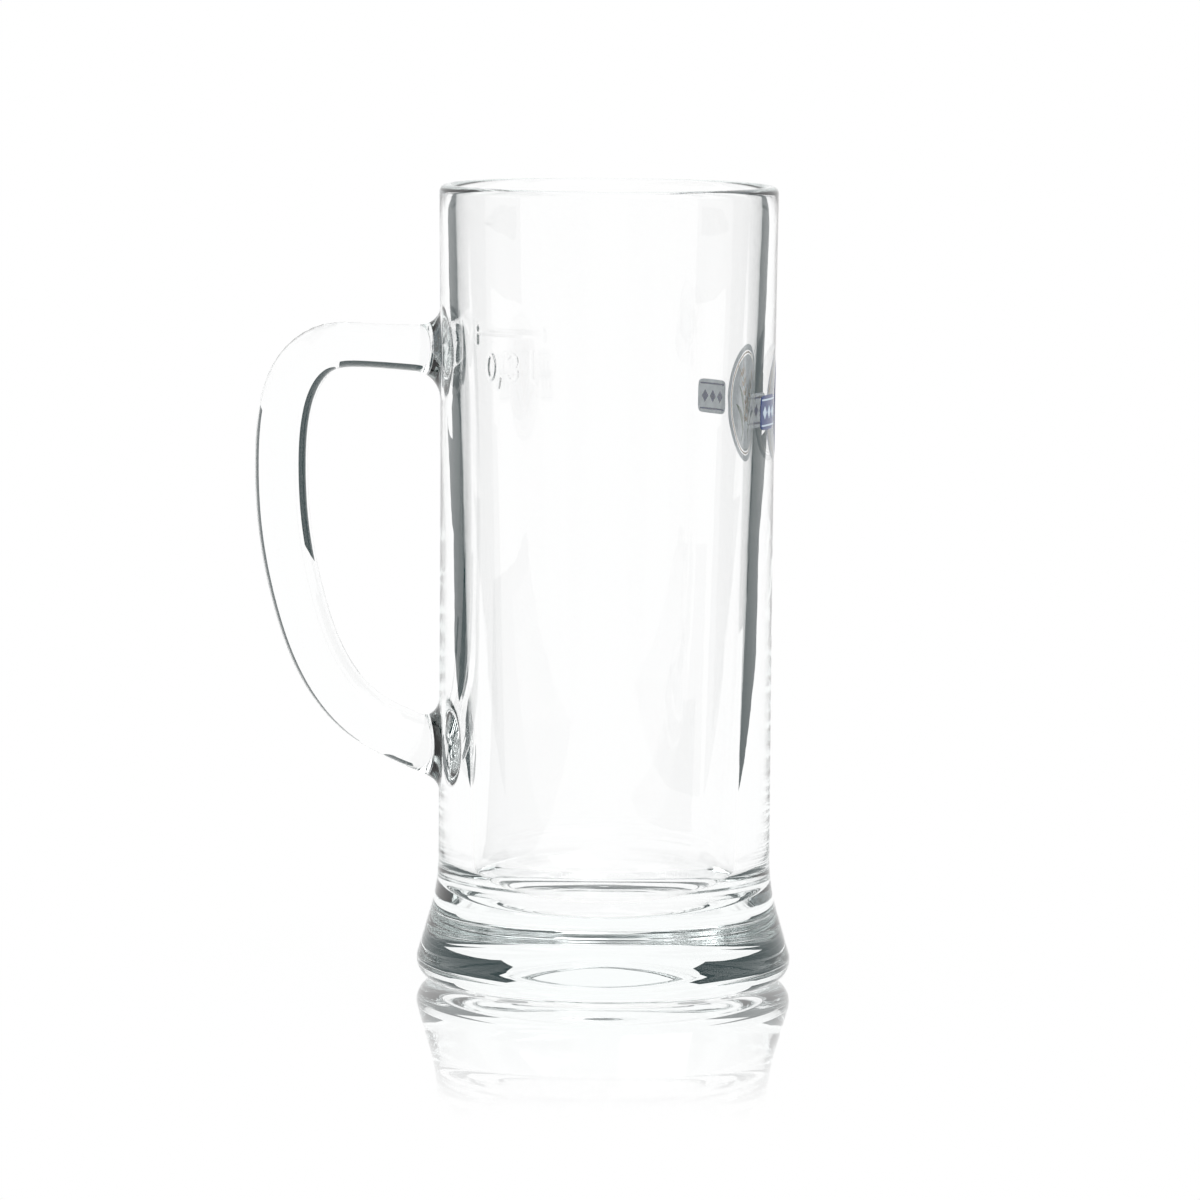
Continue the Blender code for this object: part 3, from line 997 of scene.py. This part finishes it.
def make_world(studio):
    """White surroundings for what is seen, and plain even light for what is lit."""
    world = bpy.data.worlds.new("white_studio")
    bpy.context.scene.world = world
    world.use_nodes = True
    nodes, links = world.node_tree.nodes, world.node_tree.links
    nodes.clear()
    output = nodes.new("ShaderNodeOutputWorld")
    white = add_node(nodes, "Background", Color=WHITE).outputs["Background"]
    soft = add_node(nodes, "Background", Color=WHITE, Strength=studio.sky).outputs["Background"]
    seen = compare(nodes, links, "MAXIMUM", *light_seen(nodes, links))
    links.new(mix(nodes, links, seen, soft, white), output.inputs["Surface"])


def make_lamp(studio):
    """One large soft lamp above and in front, to the right."""
    lamp = bpy.data.lights.new("soft_lamp", "AREA")
    lamp.energy = studio.lamp
    lamp.size = LAMP_SIDE
    holder = bpy.data.objects.new("soft_lamp", lamp)
    holder.location = LAMP_PLACE
    holder.rotation_euler = (LAMP_TARGET - LAMP_PLACE).to_track_quat("-Z", "Y").to_euler()
    bpy.context.scene.collection.objects.link(holder)


def make_camera(studio):
    """The camera: in front of the axis, looking down a little, turned and leaned to its left."""
    forward = Vector((-math.sin(studio.yaw), 1.0, 0.0)).normalized() * math.cos(studio.pitch)
    forward.z = -math.sin(studio.pitch)
    right = forward.cross(Vector((0.0, 0.0, 1.0))).normalized()
    up = right.cross(forward)
    leaned_up = up * math.cos(studio.roll) - right * math.sin(studio.roll)
    leaned_right = right * math.cos(studio.roll) + up * math.sin(studio.roll)
    data = bpy.data.cameras.new("camera")
    data.sensor_width = 36.0
    data.lens = studio.lens
    camera = bpy.data.objects.new("camera", data)
    stance = Matrix((leaned_right, leaned_up, -forward)).transposed().to_4x4()
    stance.translation = (AXIS_X, -studio.eye_distance, studio.eye_height)
    camera.matrix_world = stance
    bpy.context.scene.collection.objects.link(camera)
    bpy.context.scene.camera = camera


class MUG_OT_studio(bpy.types.Operator):
    """Set up the table, the cards, the light and the camera"""

    bl_idname = "mug.make_studio"
    bl_label = "Make Studio"

    def execute(self, context):
        studio = context.scene.mug_studio
        make_camera(studio)
        make_table(studio)
        make_cards(studio)
        make_world(studio)
        make_lamp(studio)
        context.scene.view_settings.view_transform = "Standard"
        cycles = context.scene.cycles
        cycles.max_bounces = 40
        cycles.transmission_bounces = 40
        cycles.glossy_bounces = 24
        return {"FINISHED"}


class MUG_PT_panel(bpy.types.Panel):
    """Lists the steps that build the mug"""

    bl_idname = "MUG_PT_panel"
    bl_label = "Beer Mug"
    bl_space_type = "VIEW_3D"
    bl_region_type = "UI"
    bl_category = "Beer Mug"

    def draw(self, context):
        for operator in OPERATORS:
            self.layout.operator(operator.bl_idname)


SETTINGS = {
    "mug_body": BodySizes,
    "mug_handle": HandleSizes,
    "mug_mark": MarkSizes,
    "mug_glass": GlassLook,
    "mug_print": PrintLook,
    "mug_studio": StudioLook,
}
OPERATORS = (MUG_OT_studio, MUG_OT_glass, MUG_OT_panel, MUG_OT_ears, MUG_OT_bars)


def register():
    """Add the settings, the operators and the sidebar's panel."""
    for name, settings in SETTINGS.items():
        bpy.utils.register_class(settings)
        setattr(bpy.types.Scene, name, PointerProperty(type=settings))
    for operator in OPERATORS:
        bpy.utils.register_class(operator)
    bpy.utils.register_class(MUG_PT_panel)


def unregister():
    """Take them away again, in the opposite order."""
    bpy.utils.unregister_class(MUG_PT_panel)
    for operator in reversed(OPERATORS):
        bpy.utils.unregister_class(operator)
    for name, settings in reversed(SETTINGS.items()):
        delattr(bpy.types.Scene, name)
        bpy.utils.unregister_class(settings)


def main():
    """Build the mug in its studio."""
    register()
    bpy.ops.mug.make_studio()
    bpy.ops.mug.make_glass()
    bpy.ops.mug.make_panel()
    bpy.ops.mug.make_ears()
    bpy.ops.mug.make_bars()


if __name__ == "__main__":
    main()
